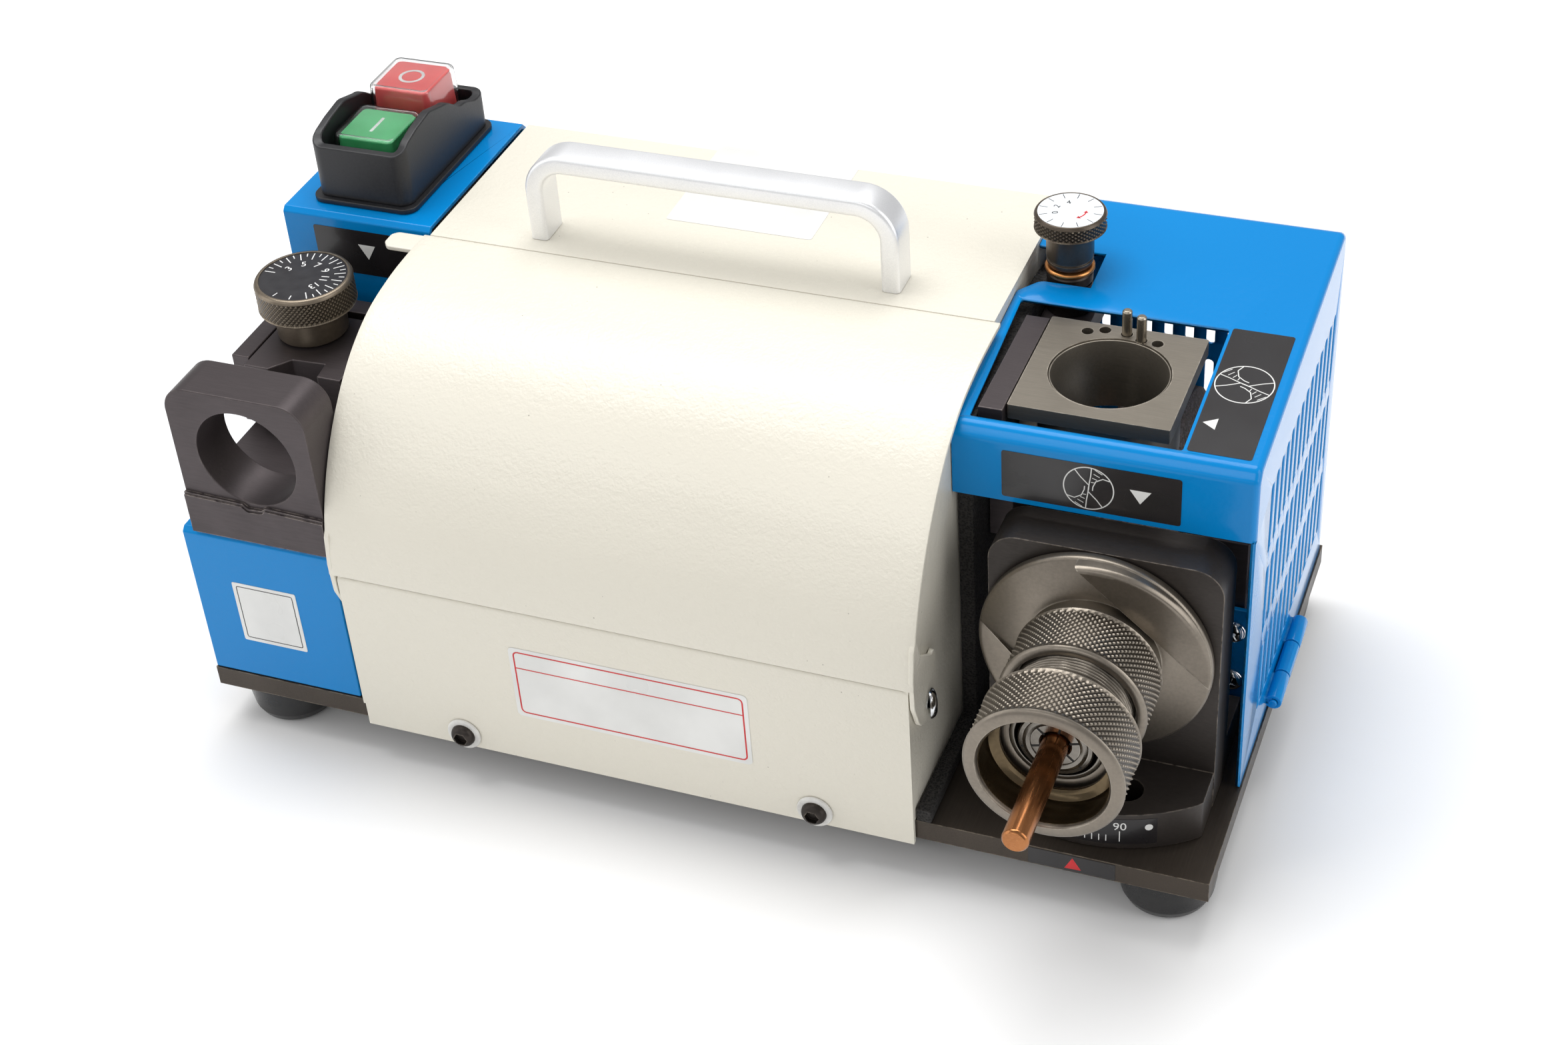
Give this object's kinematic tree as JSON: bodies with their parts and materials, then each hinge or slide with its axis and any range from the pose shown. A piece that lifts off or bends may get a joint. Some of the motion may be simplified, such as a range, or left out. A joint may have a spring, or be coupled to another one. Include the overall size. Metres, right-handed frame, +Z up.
{
  "type": "drill bit sharpener",
  "caption": "Bench drill bit grinder: hinged curved cover, cam chuck in a swivelling seat, web thinning station in a slotted hood, setting gauge with dial, push-button switch.",
  "frame": {"origin": "centre of the bounding box in plan, on the plane the rubber feet stand on", "axes": "+X along the base plate from the setting gauge to the grinding hood, -Y towards the operator, +Z up"},
  "size_m": [0.3244, 0.2176, 0.171],
  "materials": {
    "cream_powder_coat": "fine textured powder coat",
    "blue_powder_coat": "semi-gloss powder coat",
    "black_oxide_steel": "blackened machined steel with bright worn edges",
    "machined_steel": "ground and brushed",
    "nickel_steel": "satin plated, diamond knurled",
    "bright_chrome": "polished",
    "satin_aluminium": "satin anodised",
    "black_rubber": "glossy moulded rubber",
    "black_foam": "open cell foam",
    "black_plastic": "fine moulded texture",
    "green_plastic": "glossy",
    "red_plastic": "glossy",
    "clear_plastic": "clear moulded cap",
    "copper_ring": "copper",
    "drill_steel": "amber tempered high speed steel, stated as brass for its colour",
    "motor_grey": "grey motor body",
    "winding_iron": "laminated iron with varnished windings",
    "abrasive": "abrasive coated wheel"
  },
  "bodies": {
    "frame": {"base_plate": "black_oxide_steel", "casing": "cream_powder_coat", "front_screw_left": "black_oxide_steel", "front_screw_right": "black_oxide_steel", "lid_pivot_screw_right": "bright_chrome", "lid_pivot_screw_left": "bright_chrome", "carry_handle": "satin_aluminium", "collet_rack": "machined_steel", "left_housing": "blue_powder_coat", "cable_gland": "black_plastic", "setting_block": "black_oxide_steel", "gauge_floor": "black_oxide_steel", "gauge_body": "black_oxide_steel", "switch_insert": "black_plastic", "switch_bezel": "black_plastic", "motor_housing": "motor_grey", "motor_stator": "winding_iron", "motor_bearing_left": "bright_chrome", "motor_bearing_right": "bright_chrome", "hinge_pin": "machined_steel", "hinge_leaf": "blue_powder_coat", "hinge_bracket": "black_oxide_steel", "hinge_screw_lower": "bright_chrome", "hinge_screw_upper": "bright_chrome", "guide_plate": "black_oxide_steel", "foam_strip": "black_foam", "dial_socket": "black_oxide_steel", "dial_ring": "copper_ring", "seat_pivot_pin": "machined_steel", "seat_lock_screw": "black_oxide_steel", "foot_front_left": "black_rubber", "foot_front_right": "black_rubber", "foot_rear_left": "black_rubber", "foot_rear_right": "black_rubber", "stored_collet_3": "nickel_steel", "stored_collet_5": "nickel_steel", "stored_collet_7": "nickel_steel", "stored_collet_10": "nickel_steel", "stored_collet_13": "nickel_steel"},
    "lid": {"lid": "cream_powder_coat"},
    "hood": {"hood": "blue_powder_coat"},
    "seat": {"chuck_seat": "black_oxide_steel"},
    "chuck": {"chuck_body": "nickel_steel"},
    "nut": {"clamp_nut": "nickel_steel"},
    "collet": {"collet": "nickel_steel"},
    "drill": {"drill_bit": "drill_steel"},
    "web_knob": {"web_dial": "nickel_steel"},
    "jaw": {"gauge_jaw": "machined_steel"},
    "thinning_knob": {"thinning_dial": "black_oxide_steel"},
    "thinning_slide": {"thinning_block": "machined_steel", "dowel_pin_left": "machined_steel", "dowel_pin_right": "machined_steel"},
    "start": {"start_button": "green_plastic", "start_cap": "clear_plastic"},
    "stop": {"stop_button": "red_plastic", "stop_cap": "clear_plastic"},
    "spindle": {"rotor_shaft": "machined_steel", "cooling_fan": "black_plastic", "grinding_wheel": "abrasive", "wheel_nut": "machined_steel"}
  },
  "joints": [
    {"name": "lid_hinge", "type": "hinge", "parent": "frame", "child": "lid", "pos_m": [-0.0181, -0.0487, 0.0595], "axis": [1, 0, 0], "range_deg": [0, 95]},
    {"name": "hood_hinge", "type": "hinge", "parent": "frame", "child": "hood", "pos_m": [0.15975, 0.0333, 0.028], "axis": [0, 1, 0], "range_deg": [0, 95]},
    {"name": "seat_swivel", "type": "hinge", "parent": "frame", "child": "seat", "pos_m": [0.11875, -0.0052, 0.0295], "axis": [0, 0, 1], "range_deg": [-14, 7.5]},
    {"name": "chuck_turn", "type": "hinge", "parent": "seat", "child": "chuck", "pos_m": [0.11675, -0.0482, 0.0745], "axis": [0, 1, 0], "range_deg": [-90, 90]},
    {"name": "nut_turn", "type": "hinge", "parent": "chuck", "child": "nut", "pos_m": [0.11675, -0.0732, 0.0745], "axis": [0, 1, 0], "range_deg": [-180, 180]},
    {"name": "collet_draw", "type": "slide", "parent": "chuck", "child": "collet", "axis": [0, 1, 0], "range_m": [-0.00075, 0.00075]},
    {"name": "drill_slide", "type": "slide", "parent": "collet", "child": "drill", "axis": [0, -1, 0], "range_m": [0, 0.07]},
    {"name": "web_dial_turn", "type": "hinge", "parent": "frame", "child": "web_knob", "pos_m": [-0.14225, 0.0028, 0.1245], "axis": [0, 0, 1], "range_deg": [-135, 135]},
    {"name": "jaw_slide", "type": "slide", "parent": "frame", "child": "jaw", "axis": [0, -1, 0], "range_m": [-0.0025, 0.0025]},
    {"name": "thinning_dial_turn", "type": "hinge", "parent": "frame", "child": "thinning_knob", "pos_m": [0.08375, 0.0598, 0.1445], "axis": [0, 0, 1], "range_deg": [-360, 360]},
    {"name": "thinning_feed", "type": "slide", "parent": "frame", "child": "thinning_slide", "axis": [0, 0, 1], "range_m": [-0.0012, 0.0012]},
    {"name": "start_press", "type": "slide", "parent": "frame", "child": "start", "axis": [0, 0, -1], "range_m": [0, 0.003], "stiffness_N_per_m": 400, "springref_m": -0.002},
    {"name": "stop_press", "type": "slide", "parent": "frame", "child": "stop", "axis": [0, 0, -1], "range_m": [0, 0.003], "stiffness_N_per_m": 400, "springref_m": -0.002},
    {"name": "spindle_spin", "type": "hinge", "parent": "frame", "child": "spindle", "pos_m": [0.01775, 0.0458, 0.0705], "axis": [1, 0, 0], "continuous": true}
  ],
  "couplings": [
    {"joint": "collet_draw", "follows": "nut_turn", "m_per_rad": 0.000238},
    {"joint": "web_dial_turn", "follows": "jaw_slide", "rad_per_m": 942},
    {"joint": "thinning_dial_turn", "follows": "thinning_feed", "rad_per_m": 5235}
  ]
}
